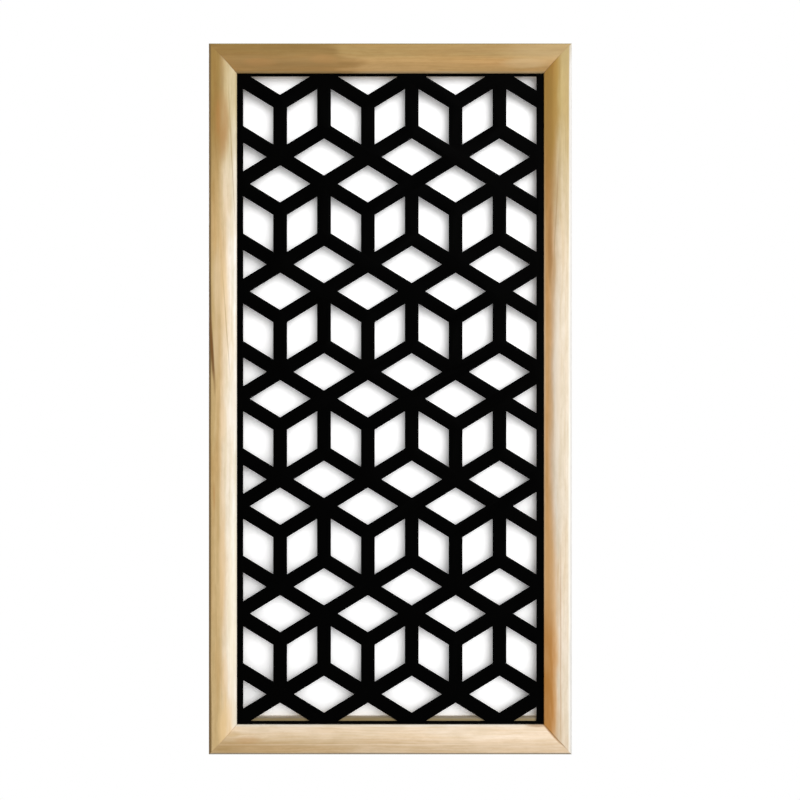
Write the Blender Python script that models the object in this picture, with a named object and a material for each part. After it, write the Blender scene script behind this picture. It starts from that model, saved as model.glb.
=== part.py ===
"""Framed lattice wall panel: one black cut sheet in a mitred frame of moulded pine.

The front faces -Y, the back of the frame lies on the plane y = 0, and +Z is up. The origin
is on the flat back of the top rail, at the middle of its length, where the panel is fixed to
a wall. All lengths are in metres.
"""

import math

import bmesh
import bpy
from mathutils import Matrix, Vector

# Lattice pattern: uprights one bay apart, joined by bars that slant up and down
BAYS = 7
ROWS = 6
BAY_PITCH = 0.0751
BAR_RISE = 0.0460
UPRIGHT_WIDTH = 0.0235
SLANT_WIDTH = 0.0242

# Sheet that the lattice is cut in, with the solid edge left beside the openings
SHEET_THICKNESS = 0.003
LEFT_BORDER = 0.0193
RIGHT_BORDER = 0.0215
TOP_BORDER = 0.0130
BOTTOM_BORDER = 0.0137

# How the frame holds the sheet
SHEET_LAP = 0.0090
SHEET_CLEARANCE = 0.0015
FIT_GAP = 0.0003

# Section of the moulding, from its outer edge inwards
OUTER_ROUND = 0.0025
FLAT_WIDTH = 0.0160
CURVE_RADIUS = 0.0245
SLOPE_ANGLE = math.radians(44)
SLOPE_WIDTH = 0.0106
SIGHT_ROUND = 0.0012
LIP_THICKNESS = 0.0030
BACK_CHAMFER = 0.0010
ROUND_STEPS = 6
CURVE_STEPS = 10

# Beads that close the rebate behind the sheet
BEAD_THICKNESS = 0.0090
BEAD_RECESS = 0.0010
BEAD_SETBACK = 0.0040
BOTTOM_BEAD_RISE = 0.0104
BEAD_EASING = 0.0008

# Worked out from the sizes above
ROW_HEIGHT = 4 * BAR_RISE
SLANT_HEIGHT = SLANT_WIDTH * math.hypot(BAY_PITCH, BAR_RISE) / BAY_PITCH
OPENING_RISE = BAR_RISE - SLANT_HEIGHT / 2
WINDOW_WIDTH = BAYS * BAY_PITCH - UPRIGHT_WIDTH
WINDOW_HEIGHT = ROWS * ROW_HEIGHT
SHEET_WIDTH = LEFT_BORDER + WINDOW_WIDTH + RIGHT_BORDER
SHEET_HEIGHT = BOTTOM_BORDER + WINDOW_HEIGHT + TOP_BORDER
SIGHT_WIDTH = SHEET_WIDTH - 2 * SHEET_LAP
SIGHT_HEIGHT = SHEET_HEIGHT - 2 * SHEET_LAP
REBATE_WIDTH = SHEET_LAP + SHEET_CLEARANCE

CURVE_RUN = CURVE_RADIUS * math.sin(SLOPE_ANGLE)
CURVE_DROP = CURVE_RADIUS * (1 - math.cos(SLOPE_ANGLE))
SLOPE_DROP = SLOPE_WIDTH * math.tan(SLOPE_ANGLE)
MEMBER_WIDTH = FLAT_WIDTH + CURVE_RUN + SLOPE_WIDTH + SIGHT_ROUND * (1 - math.sin(SLOPE_ANGLE))
SIGHT_DEPTH = CURVE_DROP + SLOPE_DROP + SIGHT_ROUND * math.cos(SLOPE_ANGLE)
REBATE_FLOOR = SIGHT_DEPTH + LIP_THICKNESS
SHEET_FRONT = REBATE_FLOOR + FIT_GAP
BEAD_FRONT = SHEET_FRONT + SHEET_THICKNESS + FIT_GAP
BEAD_BACK = BEAD_FRONT + BEAD_THICKNESS
MEMBER_DEPTH = BEAD_BACK + BEAD_RECESS

FRAME_WIDTH = SIGHT_WIDTH + 2 * MEMBER_WIDTH
FRAME_HEIGHT = SIGHT_HEIGHT + 2 * MEMBER_WIDTH
BACK_LAND = MEMBER_WIDTH - REBATE_WIDTH
FRONT = Vector((0, -MEMBER_DEPTH, 0))
CENTRE = Vector((0, 0, BACK_LAND / 2 - FRAME_HEIGHT / 2))


def clear_scene():
    """Remove whatever objects the file already holds."""
    for old in list(bpy.data.objects):
        bpy.data.objects.remove(old, do_unlink=True)


def plain_material(name, colour, roughness):
    """A non-metallic finish of one colour and gloss."""
    material = bpy.data.materials.new(name)
    material.use_nodes = True
    shader = material.node_tree.nodes["Principled BSDF"]
    shader.inputs["Base Color"].default_value = (*colour, 1)
    shader.inputs["Roughness"].default_value = roughness
    shader.inputs["Metallic"].default_value = 0
    return material


def add_piece(name, bm, material, matrix):
    """Turn a bmesh into a named object at the given place."""
    bmesh.ops.recalc_face_normals(bm, faces=bm.faces)
    mesh = bpy.data.meshes.new(name)
    bm.to_mesh(mesh)
    bm.free()
    mesh.materials.append(material)
    piece = bpy.data.objects.new(name, mesh)
    piece.matrix_world = matrix
    bpy.context.scene.collection.objects.link(piece)
    return piece


def extrude_faces(bm, faces, offset):
    """Give flat faces a thickness, leaving them as the near side of closed solids."""
    moved = bmesh.ops.extrude_face_region(bm, geom=faces)["geom"]
    far_corners = [part for part in moved if isinstance(part, bmesh.types.BMVert)]
    bmesh.ops.translate(bm, vec=offset, verts=far_corners)
    return far_corners


def arc(centre, radius, start, end, steps):
    """Points along an arc; an angle of 0 points to the front and 90 degrees points inwards."""
    turns = [start + (end - start) * step / steps for step in range(steps + 1)]
    return [(centre[0] + radius * math.sin(t), centre[1] - radius * math.cos(t)) for t in turns]


def moulding_section():
    """Outline of the moulding as (distance in from the outer edge, depth behind the front)."""
    quarter = math.radians(90)
    outer = arc((OUTER_ROUND, OUTER_ROUND), OUTER_ROUND, -quarter, 0, ROUND_STEPS)
    curve = arc((FLAT_WIDTH, CURVE_RADIUS), CURVE_RADIUS, 0, SLOPE_ANGLE, CURVE_STEPS)
    sight_centre = (MEMBER_WIDTH - SIGHT_ROUND, SIGHT_DEPTH)
    sight = arc(sight_centre, SIGHT_ROUND, SLOPE_ANGLE, quarter, ROUND_STEPS // 2)
    rebate = [(MEMBER_WIDTH, REBATE_FLOOR), (BACK_LAND, REBATE_FLOOR)]
    back = [(BACK_LAND, MEMBER_DEPTH), (BACK_CHAMFER, MEMBER_DEPTH), (0, MEMBER_DEPTH - BACK_CHAMFER)]
    return outer + curve + sight + rebate + back


def frame_member(name, length, span, turn, material):
    """A mitred length of moulding, with its outer edge half of span out from the centre.

    The bar is drawn as the bottom one of the four, and turn carries it round to its side.
    Every point of the section runs along the bar from one mitre to the other.
    """
    bm = bmesh.new()
    mitre_set_back = FIT_GAP / math.sqrt(2)
    half_length = length / 2 - mitre_set_back
    near_end = [bm.verts.new((inwards - half_length, depth, inwards - span / 2))
                for inwards, depth in moulding_section()]
    far_corners = extrude_faces(bm, [bm.faces.new(near_end)], (0, 0, 0))
    for corner in far_corners:
        corner.co.x = -corner.co.x
    place = Matrix.Translation(CENTRE + FRONT) @ Matrix.Rotation(math.radians(turn), 4, "Y")
    member = add_piece(name, bm, material, place)
    member.data.shade_smooth()
    member.data.set_sharp_from_angle(angle=math.radians(30))


def column_lift(column):
    """Every other column of the pattern stands one rise higher."""
    return BAR_RISE if column % 2 == 0 else 0


def rhombus(column, row):
    """Corners of the opening that two neighbouring bays share, centred on an upright's line."""
    x = column * BAY_PITCH
    z = row * ROW_HEIGHT + column_lift(column)
    opening_run = OPENING_RISE * BAY_PITCH / BAR_RISE
    return [(x - opening_run, z), (x, z - OPENING_RISE), (x + opening_run, z), (x, z + OPENING_RISE)]


def parallelogram(bay, row):
    """Corners of the opening between two uprights, whose ends slant from one to the other."""
    middle = (row + 0.5) * ROW_HEIGHT
    left_z = middle + column_lift(bay)
    right_z = middle + column_lift(bay + 1)
    inset = UPRIGHT_WIDTH / 2
    slant = (right_z - left_z) / BAY_PITCH
    corners = []
    for x_in_bay, side in ((inset, -1), (BAY_PITCH - inset, -1), (BAY_PITCH - inset, 1), (inset, 1)):
        z = left_z + slant * x_in_bay + side * OPENING_RISE
        corners.append((bay * BAY_PITCH + x_in_bay, z))
    return corners


def opening_faces():
    """All openings as flat faces, cut off straight along the four sides of the window."""
    outlines = [rhombus(column, row) for column in range(BAYS + 1) for row in range(ROWS + 1)]
    outlines += [parallelogram(bay, row) for bay in range(BAYS) for row in range(ROWS)]
    bm = bmesh.new()
    for outline in outlines:
        bm.faces.new([bm.verts.new((x, 0, z)) for x, z in outline])
    left = UPRIGHT_WIDTH / 2
    window_sides = (
        ((left, 0, 0), (-1, 0, 0)),
        ((left + WINDOW_WIDTH, 0, 0), (1, 0, 0)),
        ((0, 0, 0), (0, 0, -1)),
        ((0, 0, WINDOW_HEIGHT), (0, 0, 1)),
    )
    for point, outwards in window_sides:
        everything = bm.verts[:] + bm.edges[:] + bm.faces[:]
        bmesh.ops.bisect_plane(bm, geom=everything, dist=1e-6, plane_co=point,
                               plane_no=outwards, clear_outer=True)
    return bm


def lattice_cutter(corner):
    """One hidden object that holds a prism through the sheet for each opening."""
    bm = opening_faces()
    overshoot = SHEET_THICKNESS
    bmesh.ops.translate(bm, vec=(0, -overshoot, 0), verts=bm.verts)
    extrude_faces(bm, bm.faces[:], (0, SHEET_THICKNESS + 2 * overshoot, 0))
    cutter = add_piece("lattice_cutter", bm, plain_material("cutter", (1, 1, 1), 1),
                       Matrix.Translation(corner))
    cutter.hide_render = True
    cutter.display_type = "WIRE"
    return cutter


def lattice_sheet(material):
    """The black sheet: a plain board with every opening of the pattern cut through it."""
    sheet_corner = CENTRE + FRONT + Vector((-SHEET_WIDTH / 2, SHEET_FRONT, -SHEET_HEIGHT / 2))
    bm = bmesh.new()
    outline = ((0, 0), (SHEET_WIDTH, 0), (SHEET_WIDTH, SHEET_HEIGHT), (0, SHEET_HEIGHT))
    board = bm.faces.new([bm.verts.new((x, 0, z)) for x, z in outline])
    extrude_faces(bm, [board], (0, SHEET_THICKNESS, 0))
    sheet = add_piece("lattice_sheet", bm, material, Matrix.Translation(sheet_corner))

    first_upright = Vector((LEFT_BORDER - UPRIGHT_WIDTH / 2, 0, BOTTOM_BORDER))
    openings = sheet.modifiers.new("openings", "BOOLEAN")
    openings.operation = "DIFFERENCE"
    openings.solver = "EXACT"
    openings.object = lattice_cutter(sheet_corner + first_upright)


def bead(name, left, right, bottom, top, material):
    """A square bead behind the sheet; its sides are given from the panel's centre."""
    bm = bmesh.new()
    bmesh.ops.create_cube(bm, size=1)
    bmesh.ops.scale(bm, vec=(right - left, BEAD_THICKNESS, top - bottom), verts=bm.verts)
    middle = Vector(((left + right) / 2, (BEAD_FRONT + BEAD_BACK) / 2, (bottom + top) / 2))
    piece = add_piece(name, bm, material, Matrix.Translation(CENTRE + FRONT + middle))
    easing = piece.modifiers.new("eased_edges", "BEVEL")
    easing.width = BEAD_EASING
    easing.segments = 2


def beads(material):
    """Four beads in the rebate: two across its full width and two upright ones between them."""
    rebate_side = SIGHT_WIDTH / 2 + REBATE_WIDTH - FIT_GAP
    rebate_end = SIGHT_HEIGHT / 2 + REBATE_WIDTH - FIT_GAP
    inner_side = SIGHT_WIDTH / 2 + BEAD_SETBACK
    top_bead_edge = SIGHT_HEIGHT / 2 + BEAD_SETBACK
    bottom_bead_edge = BOTTOM_BEAD_RISE - SIGHT_HEIGHT / 2
    upright_bottom = bottom_bead_edge + FIT_GAP
    upright_top = top_bead_edge - FIT_GAP
    bead("bottom_bead", -rebate_side, rebate_side, -rebate_end, bottom_bead_edge, material)
    bead("top_bead", -rebate_side, rebate_side, top_bead_edge, rebate_end, material)
    bead("left_bead", -rebate_side, -inner_side, upright_bottom, upright_top, material)
    bead("right_bead", inner_side, rebate_side, upright_bottom, upright_top, material)


def frame():
    """Four mitred members, each of its own piece of pine."""
    sides = (
        ("bottom_rail", FRAME_WIDTH, FRAME_HEIGHT, 0, (0.78, 0.63, 0.42)),
        ("left_stile", FRAME_HEIGHT, FRAME_WIDTH, 90, (0.74, 0.57, 0.34)),
        ("top_rail", FRAME_WIDTH, FRAME_HEIGHT, 180, (0.58, 0.40, 0.20)),
        ("right_stile", FRAME_HEIGHT, FRAME_WIDTH, 270, (0.80, 0.62, 0.40)),
    )
    for name, length, span, turn, colour in sides:
        pine = plain_material(name + "_pine", colour, 0.45)
        frame_member(name, length, span, turn, pine)


clear_scene()
frame()
lattice_sheet(plain_material("black_sheet", (0.006, 0.006, 0.006), 0.5))
beads(plain_material("bead_pine", (0.60, 0.46, 0.29), 0.6))
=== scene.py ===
import math

import bmesh
import bpy
from mathutils import Euler, Matrix, Vector


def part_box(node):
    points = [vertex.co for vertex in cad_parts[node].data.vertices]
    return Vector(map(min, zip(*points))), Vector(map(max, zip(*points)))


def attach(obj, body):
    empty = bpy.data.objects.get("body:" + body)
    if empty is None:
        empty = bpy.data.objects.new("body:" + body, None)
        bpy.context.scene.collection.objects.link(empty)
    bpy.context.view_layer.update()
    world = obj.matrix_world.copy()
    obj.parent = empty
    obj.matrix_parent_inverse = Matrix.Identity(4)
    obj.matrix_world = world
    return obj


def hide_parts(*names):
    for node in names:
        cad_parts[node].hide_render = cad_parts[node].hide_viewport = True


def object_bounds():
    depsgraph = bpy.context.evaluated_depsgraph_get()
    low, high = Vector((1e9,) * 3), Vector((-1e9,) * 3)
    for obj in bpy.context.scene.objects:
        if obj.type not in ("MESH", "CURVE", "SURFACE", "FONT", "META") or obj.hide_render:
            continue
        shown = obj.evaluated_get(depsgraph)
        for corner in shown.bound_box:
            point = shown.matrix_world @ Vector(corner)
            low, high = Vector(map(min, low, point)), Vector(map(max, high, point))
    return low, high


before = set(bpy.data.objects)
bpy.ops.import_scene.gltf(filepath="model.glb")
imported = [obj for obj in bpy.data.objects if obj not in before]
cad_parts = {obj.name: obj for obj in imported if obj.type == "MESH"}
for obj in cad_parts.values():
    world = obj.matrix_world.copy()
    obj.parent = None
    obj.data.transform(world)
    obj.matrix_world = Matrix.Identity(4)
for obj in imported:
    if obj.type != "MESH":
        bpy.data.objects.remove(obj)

cad_low, cad_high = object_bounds()

# Frame members
# Four lengths of pine moulding, mitred and glued at the corners round the lattice. Each has a
# flat outer band, a rounded shoulder and a slope down to the sight edge, with a rebate behind.
# They are planed, sanded and given one thin satin coat.

QUARTER_TURN = math.radians(90)
PANEL_WIDTH = cad_high.x - cad_low.x
PANEL_HEIGHT = cad_high.z - cad_low.z
PANEL_MIDDLE = (cad_low + cad_high) / 2
FRONT_MIDDLE = Vector((PANEL_MIDDLE.x, cad_low.y, PANEL_MIDDLE.z))
MEMBER_DEPTH = cad_high.y - cad_low.y
MEMBER_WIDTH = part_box("bottom_rail")[1].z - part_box("bottom_rail")[0].z
SHEET_GAP = 0.0003
MITRE_GAP = 0.00004

# The moulding, with the number of strips that make up each rounded edge
FLAT_WIDTH = 0.016
SLOPE_ANGLE = math.radians(44)
SHOULDER_RADIUS = 0.0245
SHOULDER_STRIPS = 14
OUTER_ROUND = 0.0025
OUTER_STRIPS = 6
SIGHT_ROUND = 0.0012
SIGHT_STRIPS = 4
BACK_EASING = 0.001
BACK_STRIPS = 2

SATIN_COAT = 0.1
SHARP_ANGLE = math.radians(32)

# How far apart two points, or a point and a plane, may lie and still count as together
SAME_PLACE = 1e-5
SAME_PLANE = 1e-6


def shader_node(tree, kind, inputs=None, **settings):
    """Add a node, set its options, and fill its sockets with values or with other sockets."""
    node = tree.nodes.new(kind)
    for option, value in settings.items():
        setattr(node, option, value)
    for socket, value in (inputs or {}).items():
        if isinstance(value, bpy.types.NodeSocket):
            tree.links.new(value, node.inputs[socket])
        else:
            node.inputs[socket].default_value = value
    return node


def calculate(tree, operation, *values):
    """One step of arithmetic on numbers or sockets."""
    node = shader_node(tree, "ShaderNodeMath", dict(enumerate(values)), operation=operation)
    return node.outputs[0]


def blend_colour(tree, factor, below, above, how="MIX"):
    """Lay one colour over another."""
    node = shader_node(tree, "ShaderNodeMix", data_type="RGBA", blend_type=how, clamp_factor=True)
    for socket, value in ((0, factor), (6, below), (7, above)):
        if isinstance(value, bpy.types.NodeSocket):
            tree.links.new(value, node.inputs[socket])
        else:
            node.inputs[socket].default_value = value
    return node.outputs[2]


def stretched_noise(tree, vector, seed, along, across, detail=2.0, roughness=0.5):
    """Noise drawn out along the grain, different on every board."""
    scaled = shader_node(tree, "ShaderNodeVectorMath", {0: vector, 1: (along, across, across)},
                         operation="MULTIPLY")
    noise = shader_node(tree, "ShaderNodeTexNoise",
                        {"Vector": scaled.outputs[0], "W": seed, "Scale": 1.0,
                         "Detail": detail, "Roughness": roughness},
                        noise_dimensions="4D")
    return noise.outputs["Fac"]


def soft_step(tree, value, low, high, from_value=0.0, to_value=1.0):
    """Ease smoothly from one value to another while the input goes from low to high."""
    step = shader_node(tree, "ShaderNodeMapRange",
                       {"Value": value, "From Min": low, "From Max": high,
                        "To Min": from_value, "To Max": to_value},
                       interpolation_type="SMOOTHSTEP")
    return step.outputs["Result"]


def ragged(tree, value, noise, reach):
    """Push a distance to and fro by up to half the reach each way."""
    push = calculate(tree, "MULTIPLY", calculate(tree, "SUBTRACT", noise, 0.5), reach)
    return calculate(tree, "ADD", value, push)


def group_with_sockets(name, inputs, outputs):
    """A new node group with the given sockets; returns its tree and its input sockets."""
    tree = bpy.data.node_groups.new(name, "ShaderNodeTree")
    kinds = {"vector": "NodeSocketVector", "number": "NodeSocketFloat", "colour": "NodeSocketColor"}
    for socket_name, kind, value in inputs:
        socket = tree.interface.new_socket(socket_name, in_out="INPUT", socket_type=kinds[kind])
        socket.default_value = value
    for socket_name, kind in outputs:
        tree.interface.new_socket(socket_name, in_out="OUTPUT", socket_type=kinds[kind])
    return tree, tree.nodes.new("NodeGroupInput").outputs


# Sizes in the pine, in metres; a pair is where a soft step begins and where it ends
BORDER_WANDER = 0.012
SIGHT_ARRIS_WIDTH = (0.0028, 0.0012)
SHADED_END_WANDER = 0.22
RING_WANDER = 0.03
ARRIS_WANDER = 0.0016
ARRIS_DEPTH = (0.006, 0.002)
JOINT_WIDTH = (0.0013, 0.0004)
JOINT_FADE = (0.010, 0.032)

# Its tints, which multiply the colour beneath, and the levels through one year's ring
OLIVE_TINT = (0.84, 0.80, 0.66, 1)
RESIN_TINT = (0.97, 0.80, 0.58, 1)
FLECK_DARK = (0.95, 0.94, 0.91, 1)
FLECK_PALE = (1.05, 1.06, 1.09, 1)
LATEWOOD_TINT = (0.93, 0.89, 0.80, 1)
FIBRE_TINT = (0.92, 0.90, 0.86, 1)
GLUE_TINT = (0.42, 0.26, 0.13, 1)
RING_LEVELS = ((0.45, 0.15), (0.78, 1.0), (0.92, 0.6))

# How strongly the glue shows where the mitre reaches the outer edge
GLUE_AT_OUTER_EDGE = 0.08

# Added to a board's own number, so that resin and flecks don't follow its streaks
RESIN_SHIFT = 3.7
FLECK_SHIFT = 1.9


def pine_group():
    """Planed pine: two tones across the board, a darker end, streaks, rings and fibre.
    The tones, the darker end and the sight and outer arrises also hold painted highlight and shade.

    Grain Space has X along the board, Y in from its outer edge and Z down from its face.
    """
    tree, given = group_with_sockets("planed pine", (
        ("Grain Space", "vector", (0, 0, 0)),
        ("Board", "number", 0.0),
        ("Flat Tone", "colour", (0.6, 0.45, 0.26, 1)),
        ("Slope Tone", "colour", (0.6, 0.45, 0.26, 1)),
        ("Slope From", "number", 0.015),
        ("Slope To", "number", 0.028),
        ("Bow", "number", 0.0),
        ("End Shade Tint", "colour", (1, 1, 1, 1)),
        ("End From", "number", 0.0),
        ("End To", "number", 1.0),
        ("End Inwards", "number", 1.0),
        ("Streaks", "number", 0.6),
        ("Warmth", "number", 0.4),
        ("Pith Inwards", "number", 0.06),
        ("Pith Depth", "number", 0.05),
        ("Ring Spacing", "number", 0.005),
        ("Sight Arris Tone", "colour", (0.9, 0.8, 0.65, 1)),
        ("Sight Edge", "number", 1.0),
        ("Painted Outer Arris", "colour", (0.5, 0.4, 0.3, 1)),
        ("Outer Width", "number", 0.001),
        ("Half Length", "number", 10.0),
        ("Joint", "number", 0.7),
    ), (("Colour", "colour"), ("Roughness", "number"), ("Height", "number")))
    space, board = given["Grain Space"], given["Board"]
    along, inwards, depth = shader_node(tree, "ShaderNodeSeparateXYZ", {0: space}).outputs
    drift = stretched_noise(tree, space, board, 5.0, 30.0)
    blotch = stretched_noise(tree, space, board, 9.0, 55.0)
    streak = stretched_noise(tree, space, board, 4.5, 110.0, detail=3.0)

    # The band and the slope differ in tone, along a border that wanders and may bow out at the
    # ends; the tones are partly the wood's and partly painted highlight and shade. A painted
    # highlight runs along the sight edge, with painted shade there on the top rail and the beads
    share = calculate(tree, "DIVIDE", along, given["Half Length"])
    bowed = calculate(tree, "MULTIPLY", calculate(tree, "MULTIPLY", share, share), given["Bow"])
    border = ragged(tree, calculate(tree, "ADD", inwards, bowed), drift, BORDER_WANDER)
    slope = soft_step(tree, border, given["Slope From"], given["Slope To"])
    colour = blend_colour(tree, slope, given["Flat Tone"], given["Slope Tone"])
    from_sight = calculate(tree, "SUBTRACT", given["Sight Edge"], inwards)
    painted_sight_arris = calculate(tree, "MULTIPLY", soft_step(tree, from_sight, *SIGHT_ARRIS_WIDTH),
                       soft_step(tree, streak, 0.75, 0.35, 0.55, 0.95))
    colour = blend_colour(tree, painted_sight_arris, colour, given["Sight Arris Tone"])

    # Painted shade: each board is darker towards the top and the left of the panel, where less
    # light falls, on some boards more so on the band than on the slope
    ragged_along = ragged(tree, along, blotch, SHADED_END_WANDER)
    end = soft_step(tree, ragged_along, given["End From"], given["End To"])
    held_off = calculate(tree, "MULTIPLY", slope, calculate(tree, "SUBTRACT", 1.0, given["End Inwards"]))
    end = calculate(tree, "MULTIPLY", end, calculate(tree, "SUBTRACT", 1.0, held_off))
    colour = blend_colour(tree, end, colour, given["End Shade Tint"], how="MULTIPLY")

    # Soft olive streaks and blotches, and warmer ones where there is more resin
    dull = calculate(tree, "MULTIPLY", soft_step(tree, streak, 0.40, 0.66), given["Streaks"])
    colour = blend_colour(tree, dull, colour, OLIVE_TINT, how="MULTIPLY")
    resin = stretched_noise(tree, space, calculate(tree, "ADD", board, RESIN_SHIFT), 6.0, 60.0)
    warm = calculate(tree, "MULTIPLY", soft_step(tree, resin, 0.42, 0.68), given["Warmth"])
    colour = blend_colour(tree, warm, colour, RESIN_TINT, how="MULTIPLY")

    # Small clouds and flecks that break up the straight run of the fibre
    fleck = stretched_noise(tree, space, calculate(tree, "ADD", board, FLECK_SHIFT), 28.0, 110.0,
                            detail=4.0, roughness=0.7)
    mottle = blend_colour(tree, soft_step(tree, fleck, 0.35, 0.65), FLECK_DARK, FLECK_PALE)
    colour = blend_colour(tree, 1.0, colour, mottle, how="MULTIPLY")

    # Growth rings round a pith that lies outside the board, and fine fibre over everything
    from_pith = calculate(tree, "SUBTRACT", inwards, given["Pith Inwards"])
    from_pith = ragged(tree, from_pith, drift, RING_WANDER)
    below_pith = calculate(tree, "SUBTRACT", depth, given["Pith Depth"])
    squares = calculate(tree, "ADD", calculate(tree, "MULTIPLY", from_pith, from_pith),
                        calculate(tree, "MULTIPLY", below_pith, below_pith))
    ring = calculate(tree, "DIVIDE", calculate(tree, "SQRT", squares), given["Ring Spacing"])
    ramp_node = shader_node(tree, "ShaderNodeValToRGB", {0: calculate(tree, "FRACT", ring)})
    ramp = ramp_node.color_ramp
    ramp.interpolation = "B_SPLINE"
    ramp.elements[0].color = (0, 0, 0, 1)
    ramp.elements[1].color = (0, 0, 0, 1)
    for position, level in RING_LEVELS:
        ramp.elements.new(position).color = (level, level, level, 1)
    latewood = calculate(tree, "MULTIPLY", ramp_node.outputs["Color"],
                         soft_step(tree, blotch, 0.35, 0.6, 0.2, 1.0))
    colour = blend_colour(tree, latewood, colour, LATEWOOD_TINT, how="MULTIPLY")
    fibre = stretched_noise(tree, space, board, 18.0, 900.0, detail=3.0, roughness=0.6)
    fibre_mark = soft_step(tree, fibre, 0.35, 0.75)
    colour = blend_colour(tree, fibre_mark, colour, FIBRE_TINT, how="MULTIPLY")

    # Painted light on the outer arris: painted shade on the edges that face away from the light,
    # a painted highlight on the right stile's
    widths_in = calculate(tree, "DIVIDE", ragged(tree, inwards, blotch, ARRIS_WANDER),
                          given["Outer Width"])
    painted_outer_arris = calculate(tree, "MULTIPLY", soft_step(tree, widths_in, 1.3, 0.7),
                      soft_step(tree, depth, *ARRIS_DEPTH))
    colour = blend_colour(tree, painted_outer_arris, colour, given["Painted Outer Arris"])

    # A little glue and dust darkens each mitre, most of all towards the sight edge
    from_end = calculate(tree, "SUBTRACT", given["Half Length"], calculate(tree, "ABSOLUTE", along))
    near_mitre = soft_step(tree, calculate(tree, "SUBTRACT", from_end, inwards), *JOINT_WIDTH)
    joint = calculate(tree, "MULTIPLY", near_mitre,
                      soft_step(tree, inwards, *JOINT_FADE, GLUE_AT_OUTER_EDGE, given["Joint"]))
    colour = blend_colour(tree, joint, colour, GLUE_TINT, how="MULTIPLY")

    # Fibre and rings also show in the gloss and in the relief
    rough = calculate(tree, "ADD", soft_step(tree, fibre, 0.2, 0.8, 0.42, 0.56),
                      calculate(tree, "MULTIPLY", latewood, -0.06))
    height = calculate(tree, "ADD", calculate(tree, "MULTIPLY", fibre, 0.5),
                       calculate(tree, "MULTIPLY", latewood, 0.3))
    shader_node(tree, "NodeGroupOutput", {"Colour": colour, "Roughness": rough, "Height": height})
    return tree


def wood_mark_group():
    """One long soft mark in the wood, laid over the colour it is given."""
    tree, given = group_with_sockets("wood mark", (
        ("Colour", "colour", (1, 1, 1, 1)),
        ("Grain Space", "vector", (0, 0, 0)),
        ("Tone", "colour", (0.4, 0.2, 0.07, 1)),
        ("Along", "number", 0.0),
        ("Inwards", "number", 0.0),
        ("Half Length", "number", 0.05),
        ("Half Width", "number", 0.004),
        ("Lean", "number", 0.0),
        ("Strength", "number", 0.5),
    ), (("Colour", "colour"),))
    space = given["Grain Space"]
    along, inwards, _ = shader_node(tree, "ShaderNodeSeparateXYZ", {0: space}).outputs
    wobble = stretched_noise(tree, space, 0.5, 14.0, 90.0, detail=3.0)
    from_middle = calculate(tree, "SUBTRACT", along, given["Along"])
    line = calculate(tree, "MULTIPLY_ADD", from_middle, given["Lean"], given["Inwards"])
    off_line = ragged(tree, calculate(tree, "SUBTRACT", inwards, line), wobble, given["Half Width"])
    shares = (calculate(tree, "DIVIDE", from_middle, given["Half Length"]),
              calculate(tree, "DIVIDE", off_line, given["Half Width"]))
    squares = [calculate(tree, "MULTIPLY", share, share) for share in shares]
    mask = soft_step(tree, calculate(tree, "ADD", *squares), 1.0, 0.0)
    mask = calculate(tree, "MULTIPLY", mask, soft_step(tree, wobble, 0.25, 0.6, 0.55, 1.0))
    mask = calculate(tree, "MULTIPLY", mask, given["Strength"])
    colour = blend_colour(tree, mask, given["Colour"], given["Tone"])
    shader_node(tree, "NodeGroupOutput", {"Colour": colour})
    return tree


PLANED_PINE = pine_group()
WOOD_MARK = wood_mark_group()


def mark(tone, along, inwards, half_length, half_width, lean=0.0, strength=0.6):
    """The values of one mark, placed from the middle of the board and from its outer edge."""
    return {"Tone": tone, "Along": along, "Inwards": inwards, "Half Length": half_length,
            "Half Width": half_width, "Lean": lean, "Strength": strength}


def pine_material(name, turn, grain_origin, coat, values, marks=()):
    """Pine for one board; its grain follows the turn and is measured from the grain's origin."""
    material = bpy.data.materials.new(name)
    material.use_nodes = True
    tree = material.node_tree
    shader = tree.nodes["Principled BSDF"]
    angles = Euler((QUARTER_TURN, 0, 2 * QUARTER_TURN - turn))
    offset = -(angles.to_matrix() @ grain_origin)
    coordinates = tree.nodes.new("ShaderNodeTexCoord").outputs["Object"]
    grain_space = shader_node(tree, "ShaderNodeMapping",
                              {"Vector": coordinates, "Location": offset, "Rotation": angles})
    grain_space = grain_space.outputs[0]
    figure = shader_node(tree, "ShaderNodeGroup", {"Grain Space": grain_space, **values},
                         node_tree=PLANED_PINE)
    colour = figure.outputs["Colour"]
    for one_mark in marks:
        laid = shader_node(tree, "ShaderNodeGroup",
                           {"Colour": colour, "Grain Space": grain_space, **one_mark},
                           node_tree=WOOD_MARK)
        colour = laid.outputs["Colour"]
    tree.links.new(colour, shader.inputs["Base Color"])
    tree.links.new(figure.outputs["Roughness"], shader.inputs["Roughness"])
    bump = shader_node(tree, "ShaderNodeBump",
                       {"Height": figure.outputs["Height"], "Strength": 0.4, "Distance": 0.00015})
    tree.links.new(bump.outputs[0], shader.inputs["Normal"])
    shader.inputs["Specular IOR Level"].default_value = 0.35
    shader.inputs["Coat Weight"].default_value = coat
    shader.inputs["Coat Roughness"].default_value = 0.35
    return material


def finish_piece(name, bm, material, slot, *nodes):
    """Make a bmesh into a piece of the panel that stands for the named CAD nodes."""
    bmesh.ops.recalc_face_normals(bm, faces=bm.faces)
    mesh = bpy.data.meshes.new(name)
    bm.to_mesh(mesh)
    bm.free()
    mesh.materials.append(material)
    mesh.shade_smooth()
    mesh.set_sharp_from_angle(angle=SHARP_ANGLE)
    piece = bpy.data.objects.new(name, mesh)
    bpy.context.scene.collection.objects.link(piece)
    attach(piece, "root")
    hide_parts(*nodes)


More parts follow.
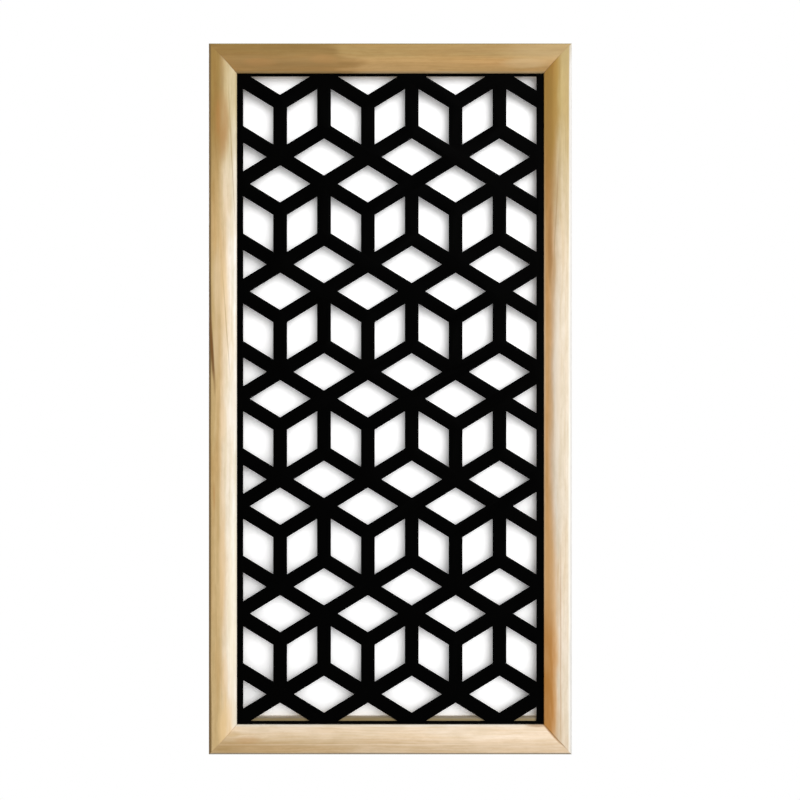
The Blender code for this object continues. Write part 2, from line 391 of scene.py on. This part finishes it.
def extruded_bar(corners, length):
    """A straight bar along X with the given corners (inwards, depth) as its section."""
    bm = bmesh.new()
    end = [bm.verts.new((-length / 2, depth, inwards)) for inwards, depth in corners]
    made = bmesh.ops.extrude_face_region(bm, geom=[bm.faces.new(end)])["geom"]
    far_end = [part for part in made if isinstance(part, bmesh.types.BMVert)]
    bmesh.ops.translate(bm, vec=(length, 0, 0), verts=far_end)
    return bm


def round_long_edge(bm, corner, offset, segments):
    """Round the edge that runs the length of a bar through one corner of its section."""
    inwards, depth = corner
    edges = [edge for edge in bm.edges
             if all(math.hypot(vertex.co.z - inwards, vertex.co.y - depth) < SAME_PLACE
                    for vertex in edge.verts)]
    bmesh.ops.bevel(bm, geom=edges, offset=offset, offset_type="OFFSET", segments=segments,
                    profile=0.5, affect="EDGES", material=-1)


def cut_end(bm, point, outwards):
    """Saw a bar off along a plane and close the cut."""
    everything = bm.verts[:] + bm.edges[:] + bm.faces[:]
    cut = bmesh.ops.bisect_plane(bm, geom=everything, dist=SAME_PLANE, plane_co=point,
                                 plane_no=outwards, clear_outer=True)["geom_cut"]
    rim = [part for part in cut if isinstance(part, bmesh.types.BMEdge)]
    bmesh.ops.edgeloop_fill(bm, edges=rim)


REBATE_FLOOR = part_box("lattice_sheet")[0].y - SHEET_GAP - cad_low.y
BACK_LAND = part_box("bottom_bead")[0].z - SHEET_GAP - cad_low.z
SHOULDER_REACH = SHOULDER_RADIUS * math.tan(SLOPE_ANGLE / 2)
SHOULDER_LINE = FLAT_WIDTH + SHOULDER_REACH
SIGHT_DEPTH = (MEMBER_WIDTH - SHOULDER_LINE) * math.tan(SLOPE_ANGLE)
SIGHT_REACH = SIGHT_ROUND * math.tan((QUARTER_TURN - SLOPE_ANGLE) / 2)


def moulded_member(node, length, span, turn, material):
    """Plane the moulding from a rebated bar, mitre both ends and turn it to its side."""
    outer, shoulder, sight = (0, 0), (SHOULDER_LINE, 0), (MEMBER_WIDTH, SIGHT_DEPTH)
    back = (0, MEMBER_DEPTH)
    bm = extruded_bar((outer, shoulder, sight, (MEMBER_WIDTH, REBATE_FLOOR),
                       (BACK_LAND, REBATE_FLOOR), (BACK_LAND, MEMBER_DEPTH), back), length)
    round_long_edge(bm, shoulder, SHOULDER_REACH, SHOULDER_STRIPS)
    round_long_edge(bm, outer, OUTER_ROUND, OUTER_STRIPS)
    round_long_edge(bm, sight, SIGHT_REACH, SIGHT_STRIPS)
    round_long_edge(bm, back, BACK_EASING, BACK_STRIPS)
    for side in (-1, 1):
        set_back = MITRE_GAP / math.sqrt(2)
        cut_end(bm, (side * (length / 2 - set_back), 0, 0), (side, 0, 1))
    place = Matrix.Translation(FRONT_MIDDLE) @ Matrix.Rotation(turn, 4, "Y")
    bmesh.ops.transform(bm, verts=bm.verts, matrix=place @ Matrix.Translation((0, 0, -span / 2)))
    finish_piece(node + "_moulding", bm, material, "pine_frame", node)


ORANGE = (0.50, 0.25, 0.075, 1)
BROWN = (0.17, 0.07, 0.01, 1)
OLIVE = (0.36, 0.22, 0.06, 1)

# Positions along a board: the bottom rail counts to the left, the left stile upwards, the top
# rail to the right and the right stile downwards, each from its middle
# The board tones are partly painted light: the top rail is toned dark all along as painted shade, and
# the left stile's slope and the right stile's band are near white as painted highlight
BOARDS = (
    ("bottom_rail", 0, {
        "Board": 1.3, "Flat Tone": (0.775, 0.61, 0.435, 1), "Slope Tone": (0.97, 0.81, 0.635, 1),
        "Slope From": 0.016, "Slope To": 0.038, "End Shade Tint": (0.68, 0.60, 0.42, 1),
        "End From": -0.30, "End To": 0.32, "End Inwards": 0.3, "Streaks": 0.22, "Warmth": 0.2,
        "Pith Inwards": 0.11, "Pith Depth": 0.04, "Ring Spacing": 0.006,
        "Sight Arris Tone": (0.98, 0.93, 0.85, 1), "Painted Outer Arris": (0.264, 0.218, 0.153, 1),
        "Outer Width": 0.0031, "Joint": 0.35},
     (mark(OLIVE, 0.284, 0.010, 0.022, 0.006, strength=0.5),
      mark(ORANGE, 0.240, 0.024, 0.030, 0.007, strength=0.35),
      mark((0.60, 0.42, 0.20, 1), 0.268, 0.0330, 0.018, 0.0060, strength=0.6),
      mark((0.40, 0.22, 0.08, 1), -0.250, 0.0435, 0.024, 0.0035, strength=0.8),
      mark((0.42, 0.21, 0.055, 1), -0.270, 0.0365, 0.022, 0.0040, lean=1.0, strength=0.95),
      # Painted highlight: a pale line where the band meets the shoulder and faces the light
      mark((0.97, 0.80, 0.62, 1), 0.02, 0.0168, 0.34, 0.0012, strength=0.4))),
    ("left_stile", 1, {
        "Board": 4.1, "Flat Tone": (0.62, 0.445, 0.215, 1), "Slope Tone": (0.99, 0.94, 0.87, 1),
        "Slope From": 0.015, "Slope To": 0.042, "End Shade Tint": (0.61, 0.53, 0.29, 1),
        "End From": 0.24, "End To": 0.52, "End Inwards": 0.78, "Streaks": 0.55, "Warmth": 0.35,
        "Pith Inwards": -0.05, "Pith Depth": 0.08, "Ring Spacing": 0.006,
        "Sight Arris Tone": (0.93, 0.88, 0.80, 1), "Painted Outer Arris": (0.19, 0.115, 0.032, 1),
        "Outer Width": 0.0042, "Joint": 0.45},
     (mark((0.385, 0.205, 0.05, 1), 0.460, 0.0215, 0.075, 0.0150, strength=1.0),
      mark((0.42, 0.19, 0.045, 1), 0.475, 0.0155, 0.036, 0.0045, strength=0.75),
      mark((0.76, 0.59, 0.37, 1), 0.200, 0.0145, 0.080, 0.0090, strength=0.5),
      mark(OLIVE, 0.411, 0.0371, 0.150, 0.0012, lean=-0.04, strength=0.5),
      mark((0.99, 0.93, 0.76, 1), -0.340, 0.0375, 0.220, 0.0100, strength=0.5),
      mark((0.99, 0.95, 0.90, 1), -0.010, 0.0410, 0.080, 0.0080, strength=0.5),
      mark((0.72, 0.50, 0.26, 1), -0.260, 0.0235, 0.150, 0.0065, strength=0.6),
      mark((0.74, 0.54, 0.31, 1), -0.040, 0.0245, 0.045, 0.0060, strength=0.55),
      mark((0.72, 0.51, 0.26, 1), 0.172, 0.0255, 0.085, 0.0080, strength=0.6),
      mark((0.66, 0.49, 0.28, 1), 0.095, 0.0125, 0.075, 0.0065, strength=0.8),
      mark(OLIVE, 0.131, 0.0286, 0.110, 0.0014, lean=-0.066, strength=0.5),
      mark((0.10, 0.05, 0.01, 1), 0.130, 0.0024, 0.110, 0.0034, strength=0.7),
      mark(BROWN, 0.080, 0.0062, 0.085, 0.0034, lean=-0.058, strength=1.0),
      mark((0.18, 0.10, 0.022, 1), -0.560, 0.0022, 0.130, 0.0042, strength=0.8),
      mark(ORANGE, -0.165, 0.0095, 0.030, 0.0020, strength=0.5),
      mark((0.78, 0.52, 0.25, 1), -0.475, 0.0270, 0.060, 0.0060, strength=0.4),
      mark((0.80, 0.55, 0.26, 1), -0.555, 0.0285, 0.065, 0.0145, strength=0.6))),
    ("top_rail", 2, {
        "Board": 7.9, "Flat Tone": (0.415, 0.270, 0.089, 1), "Slope Tone": (0.580, 0.362, 0.142, 1),
        "Slope From": 0.016, "Slope To": 0.030, "End Shade Tint": (0.75, 0.69, 0.53, 1),
        "End From": -0.045, "End To": -0.090, "End Inwards": 1.0, "Streaks": 0.4, "Warmth": 0.35,
        "Pith Inwards": 0.14, "Pith Depth": 0.05, "Ring Spacing": 0.007,
        "Sight Arris Tone": (0.42, 0.31, 0.17, 1), "Painted Outer Arris": (0.284, 0.21, 0.068, 1),
        "Outer Width": 0.0022},
     (mark((0.33, 0.205, 0.07, 1), -0.190, 0.0290, 0.170, 0.0150, strength=0.55),
      mark(ORANGE, -0.222, 0.030, 0.035, 0.007, strength=0.35),
      mark(ORANGE, -0.114, 0.026, 0.030, 0.008, strength=0.35),
      mark((0.66, 0.49, 0.26, 1), 0.228, 0.0320, 0.050, 0.0080, strength=0.5),
      mark((0.62, 0.45, 0.23, 1), 0.28, 0.014, 0.10, 0.030, strength=0.3))),
    ("right_stile", 3, {
        "Board": 9.6, "Flat Tone": (0.81, 0.71, 0.58, 1), "Slope Tone": (0.84, 0.48, 0.19, 1),
        "Slope From": 0.025, "Slope To": 0.040, "Bow": 0.005, "End Shade Tint": (0.64, 0.54, 0.26, 1),
        "End From": -0.12, "End To": -0.54, "End Inwards": 1.0, "Streaks": 0.3, "Warmth": 0.25,
        "Pith Inwards": -0.06, "Pith Depth": 0.07, "Ring Spacing": 0.006,
        "Sight Arris Tone": (0.88, 0.60, 0.34, 1), "Painted Outer Arris": (0.71, 0.69, 0.65, 1),
        "Outer Width": 0.0045},
     (mark((0.41, 0.295, 0.105, 1), -0.600, 0.0120, 0.055, 0.0180, strength=0.7),
      mark((0.62, 0.42, 0.22, 1), 0.558, 0.0220, 0.045, 0.0080, strength=0.6),
      mark((0.66, 0.50, 0.33, 1), 0.590, 0.0080, 0.030, 0.0080, strength=0.5),
      # Painted highlight along the outer arris
      mark((0.93, 0.89, 0.80, 1), 0.30, 0.0045, 0.95, 0.0022, strength=0.8),
      # Painted highlight on the shoulder, where the light grazes it
      mark((0.92, 0.80, 0.65, 1), -0.02, 0.0240, 0.230, 0.0070, strength=0.7),
      mark((0.55, 0.31, 0.11, 1), -0.215, 0.0320, 0.050, 0.0060, strength=0.5),
      mark((0.46, 0.27, 0.055, 1), -0.525, 0.0345, 0.185, 0.0170, strength=0.85),
      mark((0.42, 0.27, 0.08, 1), -0.545, 0.0205, 0.050, 0.0014, strength=0.6),
      mark((0.40, 0.20, 0.06, 1), -0.338, 0.0251, 0.120, 0.0014, lean=0.046, strength=0.45),
      mark((0.42, 0.18, 0.04, 1), -0.265, 0.0353, 0.080, 0.0045, strength=0.6),
      mark((0.80, 0.46, 0.18, 1), 0.42, 0.0400, 0.290, 0.0235, strength=0.6),
      mark((0.58, 0.235, 0.032, 1), 0.50, 0.0420, 0.180, 0.0200, strength=0.9),
      # Painted shade: a dark line where the band meets the shoulder and faces away from the light
      mark((0.55, 0.32, 0.16, 1), 0.42, 0.0189, 0.220, 0.0013, strength=0.75),
      mark((0.28, 0.13, 0.025, 1), 0.573, 0.0265, 0.023, 0.0024, lean=-1.0, strength=0.9))),
)

for node, quarter_turns, figure, marks in BOARDS:
    length, span = PANEL_WIDTH, PANEL_HEIGHT
    if quarter_turns % 2 == 1:
        length, span = span, length
    turn = quarter_turns * QUARTER_TURN
    out = Matrix.Rotation(turn, 3, "Y") @ Vector((0, 0, -1))
    values = {**figure, "Sight Edge": MEMBER_WIDTH, "Half Length": length / 2}
    pine = pine_material(node + " pine", turn, FRONT_MIDDLE + out * (span / 2), SATIN_COAT,
                         values, marks)
    moulded_member(node, length, span, turn, pine)

# Lattice sheet
# One thin black plastic sheet with the pattern of rhombi and slanting openings cut through it.
# The faces are finely satin, the cut edges duller, and a hair of the rim is broken all round.

RIM_BREAK = 0.0003
RIM_STRIPS = 2

# Edges that turn by less than the flat angle are dissolved; those over the rim angle are rims
FLAT_ANGLE = math.radians(1)
RIM_ANGLE = 1.0

FACE_BLACK = (0.0003, 0.0003, 0.00035, 1)
FACE_CLOUDED = (0.0008, 0.0008, 0.0007, 1)
CUT_BLACK = (0.003, 0.0028, 0.0026, 1)


def lattice_mesh():
    """The cut sheet with its triangles joined up again and the rims of the openings broken."""
    bm = bmesh.new()
    bm.from_mesh(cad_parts["lattice_sheet"].data)
    bmesh.ops.remove_doubles(bm, verts=bm.verts, dist=SAME_PLACE)
    bmesh.ops.dissolve_limit(bm, angle_limit=FLAT_ANGLE, verts=bm.verts, edges=bm.edges)
    rims = [edge for edge in bm.edges
            if edge.is_manifold and edge.calc_face_angle() > RIM_ANGLE and
            abs(edge.verts[0].co.y - edge.verts[1].co.y) < SAME_PLANE]
    bmesh.ops.bevel(bm, geom=rims, offset=RIM_BREAK, offset_type="OFFSET", segments=RIM_STRIPS,
                    profile=0.5, affect="EDGES", material=-1)
    return bm


def black_sheet_material():
    """Black plastic: even satin faces with a fine stipple, duller and paler where it was cut."""
    material = bpy.data.materials.new("black sheet")
    material.use_nodes = True
    tree = material.node_tree
    shader = tree.nodes["Principled BSDF"]
    coordinates = tree.nodes.new("ShaderNodeTexCoord")
    place = coordinates.outputs["Object"]
    facing = shader_node(tree, "ShaderNodeSeparateXYZ", {0: coordinates.outputs["Normal"]})
    flatness = calculate(tree, "ABSOLUTE", facing.outputs[1])
    cut_edge = soft_step(tree, flatness, 0.6, 0.3)
    cloud = shader_node(tree, "ShaderNodeTexNoise", {"Vector": place, "Scale": 9.0, "Detail": 4.0})
    stipple = shader_node(tree, "ShaderNodeTexNoise",
                          {"Vector": place, "Scale": 900.0, "Detail": 2.0})
    face_colour = blend_colour(tree, cloud.outputs["Fac"], FACE_BLACK, FACE_CLOUDED)
    colour = blend_colour(tree, cut_edge, face_colour, CUT_BLACK)
    rough = calculate(tree, "ADD", soft_step(tree, cloud.outputs["Fac"], 0.3, 0.7, 0.40, 0.50),
                      calculate(tree, "MULTIPLY", cut_edge, 0.2))
    bump = shader_node(tree, "ShaderNodeBump",
                       {"Height": stipple.outputs["Fac"], "Strength": 0.2, "Distance": 0.0001})
    for socket, value in (("Base Color", colour), ("Roughness", rough), ("Normal", bump.outputs[0])):
        tree.links.new(value, shader.inputs[socket])
    shader.inputs["Specular IOR Level"].default_value = 0.01
    return material


finish_piece("lattice", lattice_mesh(), black_sheet_material(), "black_sheet", "lattice_sheet")

# Beads
# Square strips of plain pine that close the rebate and press the sheet against the lip. The
# bottom one is wider and stands up behind the lowest openings, where it shows from the front.

BEADS = (("bottom_bead", 0, 2.2), ("left_bead", 1, 5.4), ("top_bead", 2, 6.7), ("right_bead", 3, 8.8))
BEAD_EDGE = 0.0004
BEAD_STRIPS = 3
# Painted shade: the beads are toned darker than the frame's pine, for the shade they lie in behind the
# sheet
SHADED_BEAD_TONE = (0.32, 0.25, 0.13, 1)
UNCOATED = 0.0

for node, quarter_turns, board in BEADS:
    low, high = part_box(node)
    middle = (low + high) / 2
    bm = bmesh.new()
    bmesh.ops.create_cube(bm, size=1)
    bmesh.ops.scale(bm, vec=high - low, verts=bm.verts)
    bmesh.ops.translate(bm, vec=middle, verts=bm.verts)
    bmesh.ops.bevel(bm, geom=bm.edges[:], offset=BEAD_EDGE, offset_type="OFFSET",
                    segments=BEAD_STRIPS, profile=0.5, affect="EDGES", material=-1)
    strip = pine_material(node + " pine", quarter_turns * QUARTER_TURN, middle, UNCOATED, {
        "Board": board, "Flat Tone": SHADED_BEAD_TONE, "Slope Tone": SHADED_BEAD_TONE, "Streaks": 0.6,
        "Warmth": 0.3, "Pith Inwards": 0.05, "Pith Depth": 0.07, "Ring Spacing": 0.004,
        "Sight Arris Tone": (0.24, 0.20, 0.14, 1), "Sight Edge": min(high.x - low.x, high.z - low.z) / 2})
    finish_piece(node + "_strip", bm, strip, "pine_bead", node)

# Studio
# A pale floor well below, a white card close behind the openings for their soft shadows, one
# very large soft light on the right, a weaker one for the back, and the camera.

PHOTO_PIXELS = 800
PANEL_PIXELS_HIGH = 711.8
PANEL_MIDDLE_PIXEL = (390.3, 398.9)
CAMERA_DISTANCE = 1.5
SENSOR_WIDTH = 36.0
CARD_GAP = 0.004
CARD_INSET = 0.004
CARD_TONE = 1.3
CARD_GLOW = 0.05
FLOOR_SIZE = 12
FLOOR_LEVEL = cad_low.z - 0.6
FLOOR_TONE = 0.75
SURROUNDINGS_GLOW = 0.5
KEY = {"offset": (1.65, -2.55, 1.15), "size": 3.2, "watts": 88}
BACK_FILL = {"offset": (-1.3, 1.6, 0.6), "size": 1.2, "watts": 30}
WHITE = (1, 1, 1, 1)


def flat_card(name, width, height, middle, turn, material):
    """A flat rectangle in the given place; it faces -Y before it is turned about X."""
    bm = bmesh.new()
    bmesh.ops.create_grid(bm, x_segments=1, y_segments=1, size=0.5)
    bmesh.ops.scale(bm, vec=(width, height, 1), verts=bm.verts)
    stand = Matrix.Rotation(QUARTER_TURN + turn, 4, "X")
    bmesh.ops.transform(bm, verts=bm.verts, matrix=Matrix.Translation(middle) @ stand)
    mesh = bpy.data.meshes.new(name)
    bm.to_mesh(mesh)
    bm.free()
    mesh.materials.append(material)
    card = bpy.data.objects.new(name, mesh)
    bpy.context.scene.collection.objects.link(card)


def plain_surface(name, tone):
    """An even pale matt surface; returns the material, its tree and its shader."""
    material = bpy.data.materials.new(name)
    material.use_nodes = True
    shader = material.node_tree.nodes["Principled BSDF"]
    shader.inputs["Base Color"].default_value = (tone, tone, tone, 1)
    shader.inputs["Roughness"].default_value = 0.9
    shader.inputs["Specular IOR Level"].default_value = 0.1
    return material, material.node_tree, shader


def floor_material():
    """A pale floor that lights the panel as such, and looks as white as its surroundings."""
    material, tree, shader = plain_surface("pale floor", FLOOR_TONE)
    seen = shader_node(tree, "ShaderNodeEmission", {"Color": WHITE})
    camera_ray = tree.nodes.new("ShaderNodeLightPath").outputs["Is Camera Ray"]
    mix = shader_node(tree, "ShaderNodeMixShader",
                      {0: camera_ray, 1: shader.outputs[0], 2: seen.outputs[0]})
    tree.links.new(mix.outputs[0], tree.nodes["Material Output"].inputs["Surface"])
    return material


def one_sided_card_material():
    """Brilliant white card that is seen from the front only and holds back no light."""
    material, tree, shader = plain_surface("white card", CARD_TONE)
    shader.inputs["Emission Color"].default_value = WHITE
    shader.inputs["Emission Strength"].default_value = CARD_GLOW
    backfacing = tree.nodes.new("ShaderNodeNewGeometry").outputs["Backfacing"]
    shadow_ray = tree.nodes.new("ShaderNodeLightPath").outputs["Is Shadow Ray"]
    unseen = calculate(tree, "MAXIMUM", backfacing, shadow_ray)
    clear = tree.nodes.new("ShaderNodeBsdfTransparent")
    mix = shader_node(tree, "ShaderNodeMixShader",
                      {0: unseen, 1: shader.outputs[0], 2: clear.outputs[0]})
    tree.links.new(mix.outputs[0], tree.nodes["Material Output"].inputs["Surface"])
    return material


def soft_light(name, offset, size, watts):
    """A square area light, offset from the panel's middle and aimed at it."""
    data = bpy.data.lights.new(name, "AREA")
    data.shape = "SQUARE"
    data.size = size
    data.energy = watts
    lamp = bpy.data.objects.new(name, data)
    lamp.location = PANEL_MIDDLE + Vector(offset)
    lamp.rotation_euler = (-Vector(offset)).to_track_quat("-Z", "Y").to_euler()
    lamp.visible_camera = False
    bpy.context.scene.collection.objects.link(lamp)


def white_surroundings(glow):
    """Pure white to the camera, and a softer even glow for the light that falls on things."""
    world = bpy.data.worlds.new("surroundings")
    world.use_nodes = True
    tree = world.node_tree
    felt = tree.nodes["Background"]
    felt.inputs["Color"].default_value = (glow, glow, glow, 1)
    seen = shader_node(tree, "ShaderNodeBackground", {"Color": WHITE})
    camera_ray = tree.nodes.new("ShaderNodeLightPath").outputs["Is Camera Ray"]
    mix = shader_node(tree, "ShaderNodeMixShader",
                      {0: camera_ray, 1: felt.outputs[0], 2: seen.outputs[0]})
    tree.links.new(mix.outputs[0], tree.nodes["World Output"].inputs["Surface"])
    bpy.context.scene.world = world


card_middle = Vector((PANEL_MIDDLE.x, cad_high.y + CARD_GAP, PANEL_MIDDLE.z))
flat_card("floor", FLOOR_SIZE, FLOOR_SIZE, (0, 0, FLOOR_LEVEL), -QUARTER_TURN, floor_material())
flat_card("white_card", PANEL_WIDTH - 2 * CARD_INSET, PANEL_HEIGHT - 2 * CARD_INSET, card_middle, 0,
          one_sided_card_material())
soft_light("key", **KEY)
soft_light("back_fill", **BACK_FILL)
white_surroundings(SURROUNDINGS_GLOW)
bpy.context.scene.view_settings.view_transform = "Standard"

metres_per_pixel = PANEL_HEIGHT / PANEL_PIXELS_HIGH
camera_data = bpy.data.cameras.new("camera")
camera_data.sensor_width = SENSOR_WIDTH
camera_data.lens = SENSOR_WIDTH * CAMERA_DISTANCE / (PHOTO_PIXELS * metres_per_pixel)
camera = bpy.data.objects.new("camera", camera_data)
camera.location = (
    PANEL_MIDDLE.x + (PHOTO_PIXELS / 2 - PANEL_MIDDLE_PIXEL[0]) * metres_per_pixel,
    cad_low.y - CAMERA_DISTANCE,
    PANEL_MIDDLE.z + (PANEL_MIDDLE_PIXEL[1] - PHOTO_PIXELS / 2) * metres_per_pixel,
)
camera.rotation_euler = (QUARTER_TURN, 0, 0)
bpy.context.scene.collection.objects.link(camera)
bpy.context.scene.camera = camera
